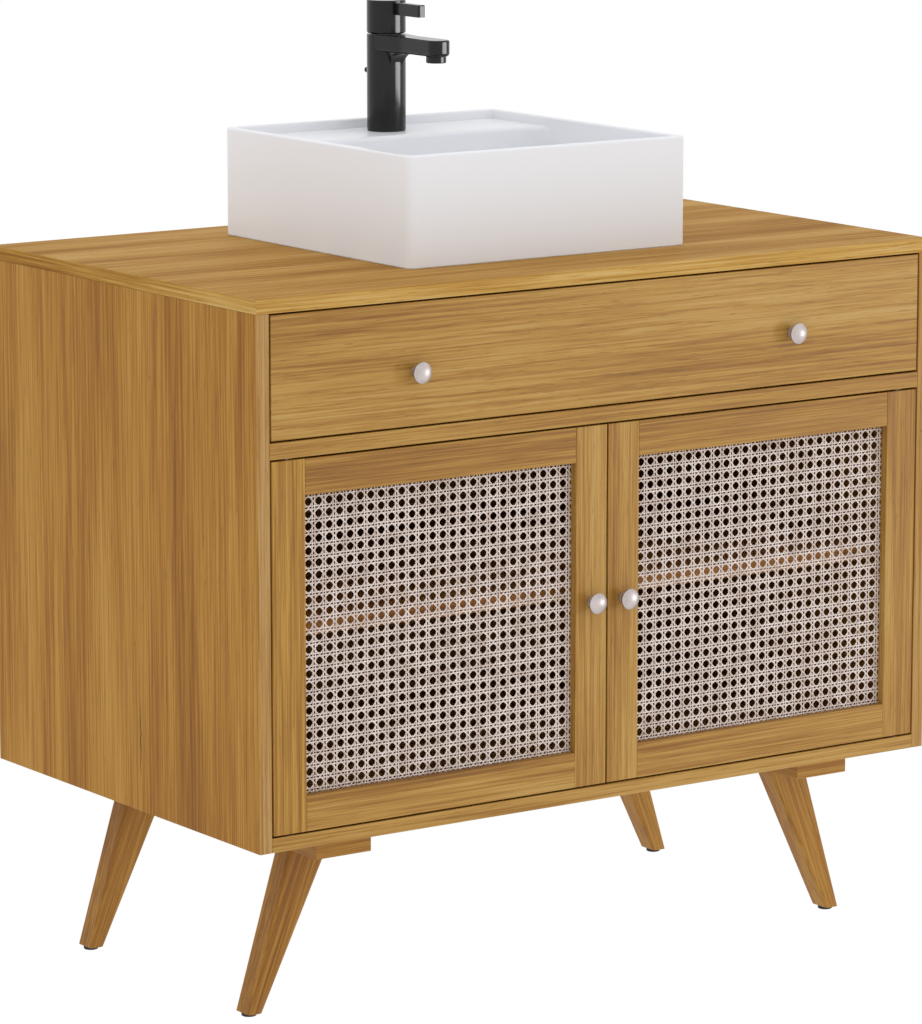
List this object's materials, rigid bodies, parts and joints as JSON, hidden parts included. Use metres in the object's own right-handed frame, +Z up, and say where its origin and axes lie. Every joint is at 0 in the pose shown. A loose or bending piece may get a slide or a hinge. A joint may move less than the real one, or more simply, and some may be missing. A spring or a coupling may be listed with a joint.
{
  "type": "vessel sink on vanity",
  "caption": "Free-standing wooden vanity with splayed legs, a drawer and cane doors, under a square vessel basin with a black mixer tap.",
  "frame": {"origin": "on the floor, under the middle of the bounding box", "axes": "+X to the right, +Y to the wall, +Z up"},
  "size_m": [0.87, 0.548, 1.0192],
  "materials": {
    "honey_wood": "satin lacquer over honey-coloured wood",
    "leg_wood": "satin lacquer",
    "inner_wood": "plain lacquered board",
    "cane": "open woven cane webbing, unlacquered",
    "white_ceramic": "white glaze",
    "black_metal": "satin black coating",
    "nickel": "satin nickel",
    "steel": "zinc plated",
    "chrome": "polished chrome",
    "brass": "machined",
    "rubber": "matt",
    "pale_plastic": "moulded"
  },
  "bodies": {
    "cabinet": {"back_left_leg": "leg_wood", "back_panel": "inner_wood", "back_right_leg": "leg_wood", "base_screws": "steel", "basin": "white_ceramic", "basin_seal": "rubber", "bottom_panel": "honey_wood", "cabinet_slide_members": "steel", "cam_fittings": "steel", "door_pivot_bushes": "brass", "drawer_rail": "honey_wood", "foot_glides": "rubber", "front_left_leg": "leg_wood", "front_right_leg": "leg_wood", "left_side_panel": "honey_wood", "leg_rails": "leg_wood", "magnetic_catches": "pale_plastic", "rear_rail": "inner_wood", "right_side_panel": "honey_wood", "shelf": "inner_wood", "shelf_pins": "steel", "tailpiece": "chrome", "tap_aerator": "black_metal", "tap_base_ring": "black_metal", "tap_body": "black_metal", "tap_cartridge": "pale_plastic", "tap_clamp_set": "steel", "top_panel": "honey_wood", "waste_body": "chrome", "waste_gasket": "rubber", "waste_nut": "chrome", "waste_washer": "rubber"},
    "drawer": {"drawer_front": "honey_wood", "drawer_sides": "inner_wood", "drawer_back": "inner_wood", "drawer_bottom": "inner_wood", "drawer_well": "inner_wood", "drawer_knobs": "nickel", "drawer_knob_screws": "steel", "drawer_slide_members": "steel"},
    "slide_middles": {"middle_slide_members": "steel"},
    "left_door": {"left_door_beads": "inner_wood", "left_door_cane": "cane", "left_door_fittings": "steel", "left_door_hinge_stile": "honey_wood", "left_door_knob": "nickel", "left_door_latch_stile": "honey_wood", "left_door_rails": "honey_wood"},
    "right_door": {"right_door_beads": "inner_wood", "right_door_cane": "cane", "right_door_fittings": "steel", "right_door_hinge_stile": "honey_wood", "right_door_knob": "nickel", "right_door_latch_stile": "honey_wood", "right_door_rails": "honey_wood"},
    "tap_swivel": {"tap_spindle": "brass"},
    "tap_handle": {"tap_handle": "black_metal"},
    "pull_rod": {"pull_rod": "black_metal"},
    "pop_up_lever": {"pop_up_lever": "chrome"},
    "waste_plug": {"waste_plug": "chrome"}
  },
  "joints": [
    {"name": "drawer_slide", "type": "slide", "parent": "cabinet", "child": "drawer", "axis": [0, -1, 0], "range_m": [0, 0.38]},
    {"name": "middle_slide", "type": "slide", "parent": "cabinet", "child": "slide_middles", "axis": [0, -1, 0], "range_m": [0, 0.19]},
    {"name": "left_door_hinge", "type": "hinge", "parent": "cabinet", "child": "left_door", "pos_m": [-0.396, -0.248, 0.4095], "axis": [0, 0, -1], "range_deg": [0, 105]},
    {"name": "right_door_hinge", "type": "hinge", "parent": "cabinet", "child": "right_door", "pos_m": [0.396, -0.248, 0.4095], "axis": [0, 0, 1], "range_deg": [0, 105]},
    {"name": "tap_turn", "type": "hinge", "parent": "cabinet", "child": "tap_swivel", "pos_m": [0, 0.158, 0.9827], "axis": [0, 0, 1], "range_deg": [-45, 45]},
    {"name": "tap_lift", "type": "hinge", "parent": "tap_swivel", "child": "tap_handle", "pos_m": [0, 0.1773, 0.9827], "axis": [-1, 0, 0], "range_deg": [0, 20]},
    {"name": "pull_rod_slide", "type": "slide", "parent": "cabinet", "child": "pull_rod", "axis": [0, 0.2559, 0.9667], "range_m": [0, 0.029]},
    {"name": "pop_up_lever_hinge", "type": "hinge", "parent": "cabinet", "child": "pop_up_lever", "pos_m": [0, 0.05, 0.715], "axis": [1, 0, 0], "range_deg": [0, 21.3]},
    {"name": "waste_plug_slide", "type": "slide", "parent": "cabinet", "child": "waste_plug", "axis": [0, 0, -1], "range_m": [0, 0.008]}
  ],
  "couplings": [
    {"joint": "middle_slide", "follows": "drawer_slide", "ratio": 0.5},
    {"joint": "pop_up_lever_hinge", "follows": "pull_rod_slide", "rad_per_m": 12.8},
    {"joint": "waste_plug_slide", "follows": "pull_rod_slide", "ratio": 0.2758}
  ]
}
